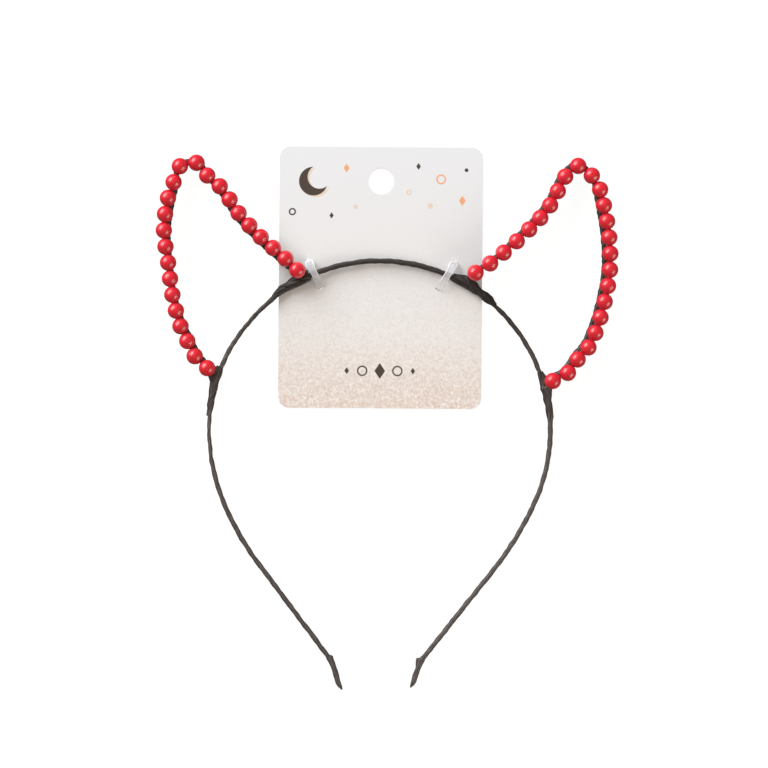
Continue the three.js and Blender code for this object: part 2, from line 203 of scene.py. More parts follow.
# %% A material and its nodes
class Finish:
    """A material whose nodes are added one at a time."""

    def __init__(self, name):
        self.material = bpy.data.materials.new(name)
        self.material.use_nodes = True
        self.tree = self.material.node_tree
        self.tree.nodes.clear()

    def node(self, kind, settings, sockets, output=0):
        node = self.tree.nodes.new(kind)
        for name, value in settings.items():
            if name == "stops":
                self.set_stops(node.color_ramp, value)
            else:
                setattr(node, name, value)
        for key, value in sockets.items():
            if isinstance(value, Signal):
                self.tree.links.new(value.socket, node.inputs[key])
            else:
                node.inputs[key].default_value = value
        return Signal(self, node.outputs[output])

    def set_stops(self, ramp, stops):
        while len(ramp.elements) < len(stops):
            ramp.elements.new(1.0)
        for element, (place, shade) in zip(ramp.elements, stops):
            element.position = place
            element.color = shade

    def mixed(self, share, first, second):
        """One colour over another, by a share from 0 to 1.

        Inputs 6 and 7 of a Mix node are its two colours, and output 2 is the mixed one.
        """
        return self.node("ShaderNodeMix", {"data_type": "RGBA"}, {0: share, 6: first, 7: second}, 2)

    def place(self):
        """The point on the model in millimetres, as three signals."""
        spot = self.node("ShaderNodeTexCoord", {}, {}, "Object")
        scaled = self.node("ShaderNodeVectorMath", {"operation": "SCALE"}, {0: spot, "Scale": 1 / MM})
        return scaled, [self.node("ShaderNodeSeparateXYZ", {}, {0: scaled}, axis) for axis in "XYZ"]

    def grain(self, vector, scale, detail=2.0):
        """Soft noise from about 0.3 to 0.7, at a scale in bumps a millimetre."""
        return self.node("ShaderNodeTexNoise", {}, {"Vector": vector, "Scale": scale, "Detail": detail})

    def bump(self, height, distance, strength=1.0):
        """A relief, with its distance in millimetres."""
        sockets = {"Height": height, "Distance": distance * MM, "Strength": strength}
        return self.node("ShaderNodeBump", {}, sockets)

    def surface(self, sockets):
        shader = self.node("ShaderNodeBsdfPrincipled", {}, sockets)
        output = self.tree.nodes.new("ShaderNodeOutputMaterial")
        self.tree.links.new(shader.socket, output.inputs["Surface"])
        return self.material


def colour(red, green, blue):
    """A colour as a painter's eye gives it, 0 to 255, as the light that a shader takes."""
    shares = [channel / 255 for channel in (red, green, blue)]
    return [((s + 0.055) / 1.055) ** 2.4 if s > 0.04 else s / 12.92 for s in shares] + [1.0]


# %% [markdown]
# ## The ribbon's finish
#
# The wire is wound with narrow black satin ribbon. Each turn overlaps the last, so the real thing shows a
# fine lip that climbs round the wire, a faint weave, and a brown-grey sheen where light grazes it. The lip
# is in the mesh. The weave is far too fine for that, so it is a bump that follows the winding. The colour
# holds painted light: the ribbon is painted palest where it faces up and darker on its sides and in the low
# of each lip. The sides and legs, over the white table, are painted lighter, as light thrown up from it, so
# the arch over the card is the darker black.

# %% Satin ribbon
THREADS_A_MM = 3.0
THREADS_A_TURN = 12.0


def shades(tone, darkest, lightest):
    """Two shades of one colour, as shares of its light."""
    return [[share * part for part in tone[:3]] + [1.0] for share in (darkest, lightest)]


def ribbon_finish(name, table_lit_tone, over_card_tone):
    """The ribbon's satin, in one tone for its sides and legs and another for the arch over the card."""
    finish = Finish(name)
    winding = finish.node("ShaderNodeUVMap", {"uv_map": "winding"}, {})
    turns, along = (finish.node("ShaderNodeSeparateXYZ", {}, {0: winding}, axis) for axis in "XY")
    spot, (_, y, _) = finish.place()
    # Painted light: the sides and legs, over the white table, get the lighter tone as painted light thrown
    # up from it, and the arch over the card gets the darker one
    over_card = (y - BAND_MIDDLE[1] / MM).rise(20.0, 46.0)
    facing = finish.node("ShaderNodeNewGeometry", {}, {}, "Normal")
    upward = finish.node("ShaderNodeSeparateXYZ", {}, {0: facing}, "Z")
    across = turns.part()
    # The low of each lip, where painted shade goes
    lip = 1 - across.rise(0.0, 0.1)
    weft = (along * (2 * math.pi * THREADS_A_MM)).wave()
    warp = (across * (2 * math.pi * THREADS_A_TURN)).wave()
    cloth = finish.grain(spot, 0.9, 3.0)
    # Painted light: the ribbon is painted paler where it faces up and darker on its sides, as painted
    # highlight and shade, and darker in the low of each lip as painted shade; the grain and weave are its
    # own
    tone_with_painted_light = (cloth - 0.5) * 0.9 + weft * warp * 0.05 - lip * 0.35 + 0.5 + (upward - 0.72) * 0.9
    tone_with_painted_light = tone_with_painted_light.smaller(1.0).larger(0.0)
    table_lit = finish.mixed(tone_with_painted_light, *shades(table_lit_tone, 0.68, 1.85))
    over_card_colour = finish.mixed(tone_with_painted_light, *shades(over_card_tone, 0.2, 0.86))
    relief = weft * 0.5 + warp * 0.5 + cloth * 1.6
    sockets = {
        "Base Color": finish.mixed(over_card, table_lit, over_card_colour),
        "Roughness": 0.48 + (cloth - 0.5) * 0.3,
        "Sheen Weight": 0.12,
        "Sheen Roughness": 0.4,
        "Normal": finish.bump(relief, 0.02, 0.6),
    }
    return finish.surface(sockets)


band_ribbon = ribbon_finish("satin_ribbon", colour(69, 63, 61), colour(68, 60, 56))
joint_ribbon = ribbon_finish("satin_ribbon_at_joints", colour(55, 49, 46), colour(51, 45, 42))
print("made two ribbon finishes:", band_ribbon.name, "and", joint_ribbon.name)

# %% [markdown]
# ## The band
#
# The real band is one wire, springy, bent to most of a circle, with two nearly straight legs that turn in.
# It could be a curve object, but the ribbon's lip needs points of its own. So the line is walked in small
# steps, turning as the wire turns, and the skin is stretched round it. A hand-bent wire is never quite
# even, so each leg strays a little to the side.

# %% The band's line
# The wire is bent evenly up to the round's end, then more easily, and is straight from there on
BAND_RADIUS = 64.2
ROUND_END = math.radians(114.7)
EASE_RADIUS = 130.0
EASE_END = math.radians(127.8)
LEG_RUN = {"left": 40.6, "right": 40.9}
WIRE_LEVEL = 3.0
# The ties and the horns draw the whole bend in by a hair
DRAWN_ROUND = 0.998


def half_band(side, step):
    """Places from the top of the arch down one side, a step apart."""
    round_length = BAND_RADIUS * ROUND_END
    ease_length = EASE_RADIUS * (EASE_END - ROUND_END)
    total = round_length + ease_length + LEG_RUN[side]
    count = round(total / step)
    step = total / count
    middles = (np.arange(count) + 0.5) * step
    turned = np.minimum(middles, round_length) / BAND_RADIUS
    turned += np.clip(middles - round_length, 0, ease_length) / EASE_RADIUS
    moves = step * np.stack([SIDES[side] * np.cos(turned), -np.sin(turned), 0 * turned], axis=1)
    start = np.array([[0.0, BAND_RADIUS, WIRE_LEVEL]])
    return np.concatenate([start, start + np.cumsum(moves, axis=0)])


def down_leg(side, turn):
    """The way down a leg, turned by some degrees towards straight down."""
    angle = EASE_END - math.radians(90 + turn)
    return np.array([-SIDES[side] * math.sin(angle), -math.cos(angle), 0.0])


# How far each leg strays sideways from its even bend, in millimetres, by its height from the band's middle
STRAY = {
    "left": {
        "at": [-96, -80, -64, -54, -42, -31, -20, -7, 6, 28, 34, 40, 46, 53, 60],
        "by": [-0.8, -0.5, -0.3, -0.1, -0.2, 0, 0.4, 0.5, 0.2, 0.1, 0.2, 0.4, 0.42, 0.2, 0],
    },
    "right": {"at": [-96, -80, -64, -56, -42, -18, 3], "by": [-0.85, -0.6, -0.5, -0.4, -0.25, -0.2, 0]},
}


def strayed(side, line):
    """Half a band as it really runs, drawn in and straying sideways."""
    moved = line * [DRAWN_ROUND, DRAWN_ROUND, 1]
    moved[:, 0] += np.interp(line[:, 1], STRAY[side]["at"], STRAY[side]["by"])
    return moved


BAND_STEP = 0.3
left_half = strayed("left", half_band("left", BAND_STEP))
right_half = strayed("right", half_band("right", BAND_STEP))
band_line = np.concatenate([left_half[:0:-1], right_half])
print("the band's line:", len(band_line), "places, ends at", left_half[-1].round(1), right_half[-1].round(1))

# %% [markdown]
# ## Winding a ribbon
#
# A ribbon wound on a wire makes a slope from each edge to the next, with a small step down at the edge. Its
# pull also makes the wound wire a little oval, and the oval turns with the winding: from the side that
# reads as slow bulges and necks. Creases run along the ribbon, not along the wire. All three are written
# from one number, the turns that the ribbon has made at a point.

# %% Soft noise along a row of numbers
def wander(values, seed):
    """Smooth noise from about -1 to 1 for a row of numbers."""
    return np.array([noise.noise(Vector((value, seed, 0.5 * seed))) for value in values])


def turns_along(line, pitch, seed):
    """How many turns of ribbon there are up to each place, wound a little unevenly."""
    lengths = np.linalg.norm(np.diff(line, axis=0), axis=1)
    travelled = np.concatenate([[0], np.cumsum(lengths)])
    pace = 1 + 0.35 * wander(travelled / (2.5 * pitch), seed)
    middles = (pace[1:] + pace[:-1]) / 2
    return travelled, np.concatenate([[0], np.cumsum(lengths * middles)]) / pitch


# %% Rings of wound ribbon
# The share of a turn in which the ribbon's edge steps up, and the slope's mean height
LIP_EDGE = 0.08
LIP_MEAN = 0.45


def wound(line, outer, inner, deep, winding, sides, seed):
    """Rings round a line, from their reach to its outer and inner side and their half depth.

    The winding says its pitch, its hand, the ribbon's lip, how oval the turns are, and how deep and how
    closely they crease. Creases lie more lengthwise than the ribbon's edge, by the share called twist.
    """
    travelled, turned = turns_along(line, winding["pitch"], seed)
    headings = headings_of(line)
    out = unit(np.cross(UP, headings))
    top = np.cross(headings, out)
    share = np.arange(sides + 1) / sides
    theta = 2 * math.pi * share[None, :] - math.pi / 2
    turns = turned[:, None] - winding["hand"] * share[None, :]
    phase = turns % 1
    slope = np.minimum(phase / LIP_EDGE, 1) * (1 - phase) - LIP_MEAN
    bulge = np.cos(4 * math.pi * turns) + 0.6 * np.cos(2 * math.pi * turns)
    folded = theta - 2 * math.pi * winding["hand"] * winding["twist"] * turned[:, None]
    crease = np.zeros_like(turns)
    for row in range(len(line)):
        for column in range(sides):
            angle = folded[row, column]
            fold = winding["creases"] * np.array([math.cos(angle), math.sin(angle)])
            crease[row, column] = noise.noise(Vector((*fold, turned[row] + seed)))
    relief = winding["lip"] * slope + winding["oval"] * bulge + winding["depth"] * crease
    half = (outer + inner)[:, None] / 2
    shift = (outer - inner)[:, None] / 2
    across = (half + relief) * np.cos(theta) + shift
    lift = (deep[:, None] + relief) * np.sin(theta)
    rings = line[:, None] + across[..., None] * out[:, None] + lift[..., None] * top[:, None]
    return rings[:, :-1], np.stack([turns, np.broadcast_to(travelled[:, None], turns.shape)], axis=-1)


# %% The band's own ribbon
ARCH_WIDTH = 2.1
LEG_WIDTH = 1.9
BAND_WINDING = {
    "pitch": 9.5, "hand": 1, "lip": 0.13, "oval": 0.05, "depth": 0.16, "creases": 1.3, "twist": 0.5,
}
# Where the ribbon draws the band in or bunches on it, as degrees from the top and shares of its width
SWELLS = {
    "left": {
        "at": [0, 26, 37.3, 40, 44, 52, 58, 62, 69, 84, 90, 98, 106],
        "share": [0.96, 1.04, 0.84, 0.96, 0.85, 0.84, 0.86, 0.96, 0.85, 0.85, 0.8, 0.84, 1.0],
    },
    "right": {
        "at": [0, 12, 26, 41.4, 44.5, 49, 53, 58, 64, 70, 82, 88, 100],
        "share": [0.96, 1.02, 1.06, 0.74, 0.86, 0.96, 0.86, 0.96, 0.92, 0.85, 0.85, 1.08, 1.0],
    },
}


def band_halves(line):
    """Half the band's width: fullest at the top of the arch, slimmer at the sides."""
    degrees = np.degrees(np.arctan2(line[:, 0], line[:, 1]))
    share = np.clip(np.abs(degrees) / 90, 0, 1)
    plain = (ARCH_WIDTH + (LEG_WIDTH - ARCH_WIDTH) * share) / 2
    left = np.interp(-degrees, SWELLS["left"]["at"], SWELLS["left"]["share"])
    right = np.interp(degrees, SWELLS["right"]["at"], SWELLS["right"]["share"])
    return plain * left * right


halves = band_halves(band_line)
rings, winding = wound(band_line, halves, halves, halves, BAND_WINDING, 20, 3.0)
add_piece("wound_band", skin("wound_band", rings, winding), band_ribbon, "ribbon", "band")

# %% [markdown]
# ## The folded ends
#
# Each end of the wire is closed with a short length of ribbon, folded over and glued. It turns in, is a
# little wider than the leg, has a corner of the fold standing out on its inner side, and ends in a slanted
# point. It is wound on the same kind of rings, narrowed from its outer side only.

# %% Folded end caps
CAP_LENGTH = {"left": 13.6, "right": 12.3}
CAP_WIDTH = 2.1
CAP_TURN = 21.0
CAP_WINDING = {
    "pitch": 9.0, "hand": 1, "lip": 0.1, "oval": 0.05, "depth": 0.2, "creases": 1.6, "twist": 0.4,
}
# By the share of the cap's length: the share of its turn, and its reaches as shares of half its width
CAP_ROWS = {
    "at": [0.0, 0.1, 0.24, 0.45, 0.78, 0.9, 1.0],
    "turn": [0.0, 0.2, 0.7, 1.0, 1.0, 1.0, 1.0],
    "outer": [1.0, 1.12, 1.1, 1.02, 0.95, 0.5, -0.45],
    "inner": [1.0, 1.16, 1.06, 1.0, 0.95, 0.92, 0.7],
    "deep": [1.0, 1.04, 1.0, 0.95, 0.85, 0.6, 0.2],
}
# The corner of the fold that stands out on the inner side, by the share of the cap's length
CAP_CORNERS = {
    "left": {"at": [0.0, 0.06, 0.14], "out": [0.0, 0.5, 0.0]},
    "right": {"at": [0.07, 0.12, 0.34], "out": [0.0, 0.85, 0.0]},
}


def cap_line(side, start, count=90):
    """The share of the cap's length and the place of each of its rings."""
    shares = np.linspace(0, 1, count)
    turns = CAP_TURN * np.interp(shares, CAP_ROWS["at"], CAP_ROWS["turn"])
    moves = np.array([down_leg(side, turn) for turn in turns[1:]]) * CAP_LENGTH[side] / (count - 1)
    return shares, np.concatenate([start[None], start + np.cumsum(moves, axis=0)])


def cap_half(shares, row):
    return CAP_WIDTH / 2 * np.interp(shares, CAP_ROWS["at"], CAP_ROWS[row])


for side, half in (("left", left_half), ("right", right_half)):
    shares, line = cap_line(side, half[-1])
    outer, inner, deep = (cap_half(shares, row) for row in ("outer", "inner", "deep"))
    corner = np.interp(shares, CAP_CORNERS[side]["at"], CAP_CORNERS[side]["out"])
    if side == "left":
        reaches = (inner + corner, outer)
    else:
        reaches = (outer, inner + corner)
    rings, winding = wound(line, *reaches, deep, CAP_WINDING, 20, 11.0 + SIDES[side])
    name = f"{side}_folded_end"
    add_piece(name, skin(name, rings, winding), band_ribbon, "ribbon", f"{side}_end_cap")

# %% [markdown]
# ## The horns' lines
#
# A horn is a bead string laid on a bent wire. The two routes below are the ones that the solids follow: a
# share of the way from one joint to the other, a share of the horn's height, and how far the wire leans to
# the horn's inside of its beads. A smooth curve through them that spaces itself by distance, the kind called
# centripetal, doesn't overshoot where the points are close together.

# %% The routes
# Where each horn meets the band, in degrees from the top of the arch
JOINTS = {
    "left": {"inner": 29.0, "outer": 71.0},
    "right": {"inner": 32.0, "outer": 74.0},
}
ROUTES = {
    "left": [
        (-0.069, 0.044, 0.36), (-0.078, 0.153, 0.5), (-0.081, 0.362, 0.48), (-0.111, 0.565, 0.48),
        (-0.149, 0.669, 0.44), (-0.179, 0.77, 0.3), (-0.18, 0.88, 0), (-0.203, 0.982, -0.24),
        (-0.087, 1.052, -0.34), (0.043, 1.014, 0.3), (0.166, 0.977, 0.48), (0.387, 0.862, 0.4),
        (0.565, 0.705, 0.13), (0.739, 0.552, 0.13), (0.889, 0.383, 0.36), (0.946, 0.286, 0.46),
        (1.001, 0.184, 0.4), (1.009, 0.055, 0.2),
    ],
    "right": [
        (-0.073, 0.074, -0.1), (-0.063, 0.188, -0.14), (-0.079, 0.408, -0.28), (-0.096, 0.516, -0.38),
        (-0.117, 0.619, -0.42), (-0.151, 0.716, -0.43), (-0.207, 0.812, -0.42), (-0.265, 0.904, -0.4),
        (-0.275, 1.011, -0.36), (-0.141, 1.047, -0.1), (-0.008, 1.035, 0.4), (0.112, 0.994, 0.48),
        (0.344, 0.9, 0.54), (0.558, 0.78, 0.55), (0.741, 0.628, 0.55), (0.897, 0.463, 0.6),
        (0.959, 0.37, 0.62), (0.984, 0.269, 0.54), (1.024, 0.172, 0.48), (1, 0.042, 0.3),
    ],
}
HORN_HEIGHT = 58.0


def on_circle(radius, degrees, side):
    turn = math.radians(degrees)
    return np.array([SIDES[side] * radius * math.sin(turn), radius * math.cos(turn), WIRE_LEVEL])


def route_places(side):
    """The chosen places of one bead string, from its inner joint to its outer one."""
    inner = on_circle(BAND_RADIUS, JOINTS[side]["inner"], side)
    outer = on_circle(BAND_RADIUS, JOINTS[side]["outer"], side)
    along = outer - inner
    out = unit(np.cross(along, UP)) * -SIDES[side] * HORN_HEIGHT
    return np.array([inner + along * row[0] + out * row[1] for row in ROUTES[side]])


# %% A smooth line through points
def smooth_spans(points, samples):
    """A centripetal curve through points: the samples of each span, and the heading at each point."""
    ends = [2 * points[0] - points[1]], [2 * points[-1] - points[-2]]
    padded = np.concatenate([ends[0], points, ends[1]])
    spans, headings = [], []
    share = np.arange(samples)[:, None] / samples
    for four in zip(padded, padded[1:], padded[2:], padded[3:]):
        before, start, end, after = four
        first, middle, last = (math.sqrt(math.dist(a, b)) for a, b in zip(four, four[1:]))
        leave = middle * ((start - before) / first - (end - before) / (first + middle)) + (end - start)
        arrive = (end - start) + middle * ((after - end) / last - (after - start) / (middle + last))
        square, cube = 3 * (end - start) - 2 * leave - arrive, 2 * (start - end) + leave + arrive
        spans.append(start + leave * share + square * share**2 + cube * share**3)
        headings += [leave, arrive]
    line = np.concatenate([*spans, points[-1:]])
    return line, unit(np.array(headings[::2] + headings[-1:]))


def spaced(line, step):
    """The same line with its places evenly apart."""
    travelled = np.concatenate([[0], np.cumsum(np.linalg.norm(np.diff(line, axis=0), axis=1))])
    stops = np.linspace(0, travelled[-1], round(travelled[-1] / step) + 1)
    return np.stack([np.interp(stops, travelled, line[:, axis]) for axis in range(3)], axis=1)


# %% [markdown]
# Under its beads the wire leans to the horn's inside or outside as the solid one does, but the lashings have
# drawn it in a little, so that only short dark pieces of it show between two beads.

# %% The wire under each string
GAP = 0.3
WIRE_WIDTH = 1.0
WIRE_STEP = 0.3
FRAME_WIDTH = 2.0
FOOT_LENGTH = 4.0
FOOT_RADIUS = BAND_RADIUS + WIRE_WIDTH + GAP
BEAD_WIDTH = 6.0
SEAT = (BEAD_WIDTH + FRAME_WIDTH) / 2 + GAP
# The share of its lean that is left when the lashings have drawn the wire in
DRAWN_IN = {"left": 0.72, "right": 0.8}


def foot_places(side, joint, wire_end):
    """One foot of the wire, along the band and out of its side."""
    turn = math.degrees(FOOT_LENGTH / FOOT_RADIUS) * (-1 if joint == "inner" else 1)
    meets = JOINTS[side][joint]
    shares = (1, 0.7, 0.4, 0)
    tip, middle, heel, corner = (on_circle(FOOT_RADIUS, meets + turn * share, side) for share in shares)
    bend = []
    for s in (0, 0.2, 0.4, 0.6, 0.8):
        bend.append((1 - s) ** 2 * heel + 2 * s * (1 - s) * corner + s * s * wire_end)
    return [tip, middle, *bend]


def wire_line(side):
    """One horn's wire from foot to foot."""
    route = route_places(side)
    _, headings = smooth_spans(route, 2)
    inside = unit(np.cross(headings, UP)) * SIDES[side]
    lean = np.array([row[2] for row in ROUTES[side]])[:, None]
    wire = route + inside * lean * SEAT * DRAWN_IN[side]
    first = foot_places(side, "inner", wire[0])
    last = foot_places(side, "outer", wire[-1])[::-1]
    return spaced(smooth_spans(np.concatenate([first, wire, last]), 24)[0], WIRE_STEP)


wires = {side: wire_line(side) for side in SIDES}
print({side: f"{len(line) * WIRE_STEP:.0f} mm of wire" for side, line in wires.items()})

# %% The horns' own ribbon
FRAME_WINDING = {
    "pitch": 5.0, "hand": -1, "lip": 0.14, "oval": 0.06, "depth": 0.16, "creases": 1.5, "twist": 0.6,
}
FOOT_TAPER = 0.1
for side, line in wires.items():
    number = np.arange(len(line))
    from_end = np.minimum(number, number[::-1]) * WIRE_STEP
    halves = np.minimum(FRAME_WIDTH / 2, WIRE_WIDTH / 2 + FOOT_TAPER * from_end)
    rings, winding = wound(line, halves, halves, halves, FRAME_WINDING, 16, 21.0 + SIDES[side])
    name = f"{side}_horn_wire"
    add_piece(name, skin(name, rings, winding), band_ribbon, "ribbon", f"{side}_horn_frame")

# %% [markdown]
# ## The wound joints
#
# Where a horn meets the band, more ribbon is wound over both wires, tight and untidy. The ribbon bunches
# to knots and diagonal folds. Each joint is given its reach to the horn's side and to the band's inner side,
# row by row, and is wound more closely and creased more deeply than the rest.

# %% The joints' shapes
# Each joint's start and end in degrees from the top, and its reach in millimetres by the share between them
BINDINGS = {
    "left_inner": {
        "from": 24.35, "to": 38.6,
        "at": [0, 0.08, 0.16, 0.25, 0.36, 0.45, 0.52, 0.62, 0.74, 0.86, 1],
        "outer": [1.9, 2.3, 2.3, 2.4, 2.3, 2.1, 1.9, 1.8, 1.7, 1.3, 0.9],
        "inner": [1.7, 1.9, 2.1, 2.1, 1.9, 1.6, 1.4, 1.25, 1.15, 1.0, 0.85],
    },
    "left_outer": {
        "from": 68.0, "to": 85.0,
        "at": [0, 0.06, 0.12, 0.2, 0.26, 0.34, 0.42, 0.5, 0.62, 0.72, 0.86, 1],
        "outer": [1.2, 2.2, 2.9, 3.5, 3.4, 2.1, 1.6, 1.35, 1.0, 0.8, 0.68, 0.66],
        "inner": [1.0, 1.15, 1.25, 1.3, 1.3, 1.35, 1.45, 1.6, 1.6, 1.5, 1.15, 0.8],
    },
    "right_inner": {
        "from": 24.75, "to": 42.2,
        "at": [0, 0.08, 0.16, 0.26, 0.36, 0.46, 0.54, 0.64, 0.74, 0.84, 0.92, 1],
        "outer": [1.4, 1.6, 2.2, 2.7, 2.95, 2.7, 2.0, 1.6, 1.7, 1.45, 1.05, 0.85],
        "inner": [1.35, 1.45, 1.5, 1.55, 1.6, 1.5, 1.35, 1.3, 1.5, 1.4, 1.05, 0.85],
    },
    "right_outer": {
        "from": 69.0, "to": 87.2,
        "at": [0, 0.08, 0.16, 0.26, 0.32, 0.42, 0.54, 0.62, 0.72, 0.86, 1],
        "outer": [1.05, 1.5, 1.9, 2.3, 2.3, 1.7, 1.3, 1.45, 1.2, 1.0, 0.75],
        "inner": [0.95, 0.95, 1.0, 1.3, 1.8, 1.35, 1.3, 1.25, 1.25, 1.1, 0.75],
    },
}
BINDING_WINDING = {
    "pitch": 13.0, "hand": 1, "lip": 0.3, "oval": 0.1, "depth": 0.6, "creases": 1.8, "twist": 0.3,
}
BINDING_STEP = 0.12

# %% Wind them
for number, (name, shape) in enumerate(BINDINGS.items()):
    side = name.split("_")[0]
    sweep = shape["to"] - shape["from"]
    shares = np.linspace(0, 1, round(math.radians(sweep) * BAND_RADIUS / BINDING_STEP))
    line = np.array([on_circle(BAND_RADIUS, shape["from"] + sweep * share, side) for share in shares])
    outer = np.interp(shares, shape["at"], shape["outer"])
    inner = np.interp(shares, shape["at"], shape["inner"])
    # A winding is as deep as the wires in it, and a little deeper where it bunches outwards
    deep = 0.62 * inner + 0.22 * outer + 0.1
    reaches = (outer, inner)
    if side == "left":
        line, reaches, deep = line[::-1], (outer[::-1], inner[::-1]), deep[::-1]
    rings, winding = wound(line, *reaches, deep, BINDING_WINDING, 44, 31.0 + number)
    piece = f"{name}_winding"
    add_piece(piece, skin(piece, rings, winding), joint_ribbon, "ribbon", f"{name}_binding")

# %% [markdown]
# ## The beads
#
# The beads are pressed acrylic, polished, with a hole through the middle. A UV sphere has no hole, so each
# is turned on a lathe: one outline that goes round the outside and back through the hole. They are all in
# one mesh, with a shade of their own, because no two beads take the dye quite alike.

# %% Where the beads rest
# How much further apart than their width the beads lie, by the share of the string that is behind them
BEAD_SLACK = {
    "left": {
        "at": [0, 0.05, 0.12, 0.34, 0.4, 0.46, 0.55, 0.75, 0.9, 1],
        "slack": [0.35, 0.1, 0.06, 0.1, 0.2, 0.42, 0.1, 0.0, 0.06, 0.45],
    },
    "right": {
        "at": [0, 0.17, 0.21, 0.33, 0.39, 0.46, 0.93, 1],
        "slack": [0.48, 0.42, -0.06, 0.0, 0.36, 0.02, 0.02, 0.4],
    },
}
TIGHT_BEAD_WIDTH = 6.17
BINDING_REACH = 1.4


def bead_middles(side):
    """The middle of each bead of a string, resting on the wire or on the wound joints."""
    route = spaced(smooth_spans(route_places(side), 200)[0], 0.05)
    behind = np.linspace(0, 1, len(route))
    pitches = BEAD_WIDTH + np.interp(behind, BEAD_SLACK[side]["at"], BEAD_SLACK[side]["slack"])
    middles = [route[0]]
    for place, pitch in zip(route, pitches):
        if math.dist(place, middles[-1]) >= pitch:
            middles.append(place)
    wire = wires[side]
    beyond = np.hypot(wire[:, 0], wire[:, 1]) - (FOOT_RADIUS + BINDING_REACH)
    seats = BEAD_WIDTH / 2 + GAP + np.where(beyond < 0, BINDING_REACH, FRAME_WIDTH / 2)
    rests = []
    for place in middles:
        apart = np.linalg.norm(wire - place, axis=1)
        rests.append(place + UP * np.sqrt(np.maximum(0, seats**2 - apart**2)).max())
    return np.array(rests)


strings = {side: bead_middles(side) for side in SIDES}
print({side: f"{len(middles)} beads" for side, middles in strings.items()})


# %% A bead's outline
def bead_outline(latitudes=30, hole=0.45, neck=1.05):
    """Places along the thread and distances from it, round the outside and back through the hole."""
    radius = TIGHT_BEAD_WIDTH / 2
    first = math.asin(neck / radius)
    sweep = np.linspace(first, math.pi - first, latitudes)
    outside = [(-radius * math.cos(angle), radius * math.sin(angle)) for angle in sweep]
    end = BEAD_WIDTH / 2 + 0.04
    rims = [(end, neck - 0.1), (end, hole)]
    inside = [(end / 2, hole - 0.1), (-end / 2, hole - 0.1)]
    return np.array(outside + rims + inside + [(-place, reach) for place, reach in rims[::-1]])


# %% Turn all the beads
def turned_beads(name, middles, around=44):
    """All the beads of a string in one mesh, each with a shade of its own."""
    outline = bead_outline()
    headings = headings_of(middles)
    angles = np.arange(around) * 2 * math.pi / around
    index = np.arange(len(outline) * around).reshape(len(outline), around)
    beside, next_row = np.roll(index, -1, axis=1), np.roll(index, -1, axis=0)
    quads = np.stack([index, beside, np.roll(next_row, -1, axis=1), next_row], axis=-1).reshape(-1, 4)
    points, faces, shades = [], [], []
    for number, (middle, heading) in enumerate(zip(middles, headings)):
        out = unit(np.cross(UP, heading))
        top = np.cross(heading, out)
        grown = 1 + 0.006 * noise.noise(Vector((7.3 * number, 1.7, 0)))
        ring = np.cos(angles)[:, None] * out + np.sin(angles)[:, None] * top
        bead = middle + grown * (outline[:, :1, None] * heading + outline[:, 1:, None] * ring)
        points.append(bead.reshape(-1, 3))
        faces.append(quads + number * len(quads))
        shades.append(np.full(len(quads), noise.noise(Vector((3.1 * number, 5.2, 0.4)))))
    mesh = make_mesh(name, np.concatenate(points), np.concatenate(faces).tolist())
    write_points(mesh, "shade", np.concatenate(shades))
    return mesh


# %% [markdown]
# Red acrylic is dyed right through and polished, so it is one strong colour with a hard, clear shine. Only
# the shade differs from bead to bead, and a trace of unevenness keeps the reflections from being perfect.

# %% Polished red
def bead_finish():
    finish = Finish("polished_red_acrylic")
    shade = finish.node("ShaderNodeAttribute", {"attribute_name": "shade"}, {}, 2)
    spot, _ = finish.place()
    cloud = finish.grain(spot, 0.35)
    share = (shade * 0.35 + (cloud - 0.5) * 0.6 + 0.5).smaller(1.0).larger(0.0)
    sockets = {
        "Base Color": finish.mixed(share, colour(216, 20, 42), colour(232, 32, 53)),
        "Roughness": 0.29 + (cloud - 0.5) * 0.06,
        "IOR": 1.5,
        "Specular IOR Level": 1.0,
    }
    return finish.surface(sockets)


red_acrylic = bead_finish()
for side, middles in strings.items():
    name = f"{side}_bead_string"
    beads = add_piece(name, turned_beads(name, middles), red_acrylic, "beads", f"{side}_horn_beads")
    # So many beads would throw a red glow on the card, and in even light it hardly shows
    beads.visible_diffuse = False

# %% [markdown]
# ## The thread
#
# A dark thread runs through every bead, and between beads it is lashed round the horn's wire, which is what
# holds the string on. Between two beads there is room for one or two turns of fine thread only.

# %% Plain rings round a line
# A little off straight up, so that a line may run straight up as well
NEARLY_UP = np.array([0.03, 0.05, 1.0])


def rings_round(line, half, sides, closed=False):
    headings = unit(np.roll(line, -1, axis=0) - np.roll(line, 1, axis=0)) if closed else headings_of(line)
    out = unit(np.cross(NEARLY_UP, headings))
    top = np.cross(headings, out)
    angles = np.arange(sides) * 2 * math.pi / sides
    ring = np.cos(angles)[:, None, None] * out + np.sin(angles)[:, None, None] * top
    return line[:, None] + np.transpose(ring, (1, 0, 2)) * half


# %% Dark thread
def thread_finish():
    finish = Finish("dark_thread")
    spot, _ = finish.place()
    fibre = finish.grain(spot, 4.0)
    sockets = {
        "Base Color": finish.mixed(fibre, colour(44, 27, 27), colour(70, 46, 44)),
        "Roughness": 0.5 + (fibre - 0.5) * 0.3,
        "Normal": finish.bump(fibre, 0.05, 0.7),
    }
    return finish.surface(sockets)


# %% The thread through the beads
THREAD_WIDTH = 0.8
END_REACH = 3.3
DROP = 1.1


def thread_mesh(name, middles):
    """The thread through every bead, dropping to the wire at both ends."""
    headings = headings_of(middles)
    ends = [middles[0] - headings[0] * END_REACH, middles[-1] + headings[-1] * END_REACH]
    drops = [end * [1, 1, 0] + UP * (WIRE_LEVEL + DROP) for end in ends]
    line = spaced(smooth_spans(np.array([drops[0], *middles, drops[1]]), 12)[0], 0.5)
    return skin(name, rings_round(line, THREAD_WIDTH / 2, 8))


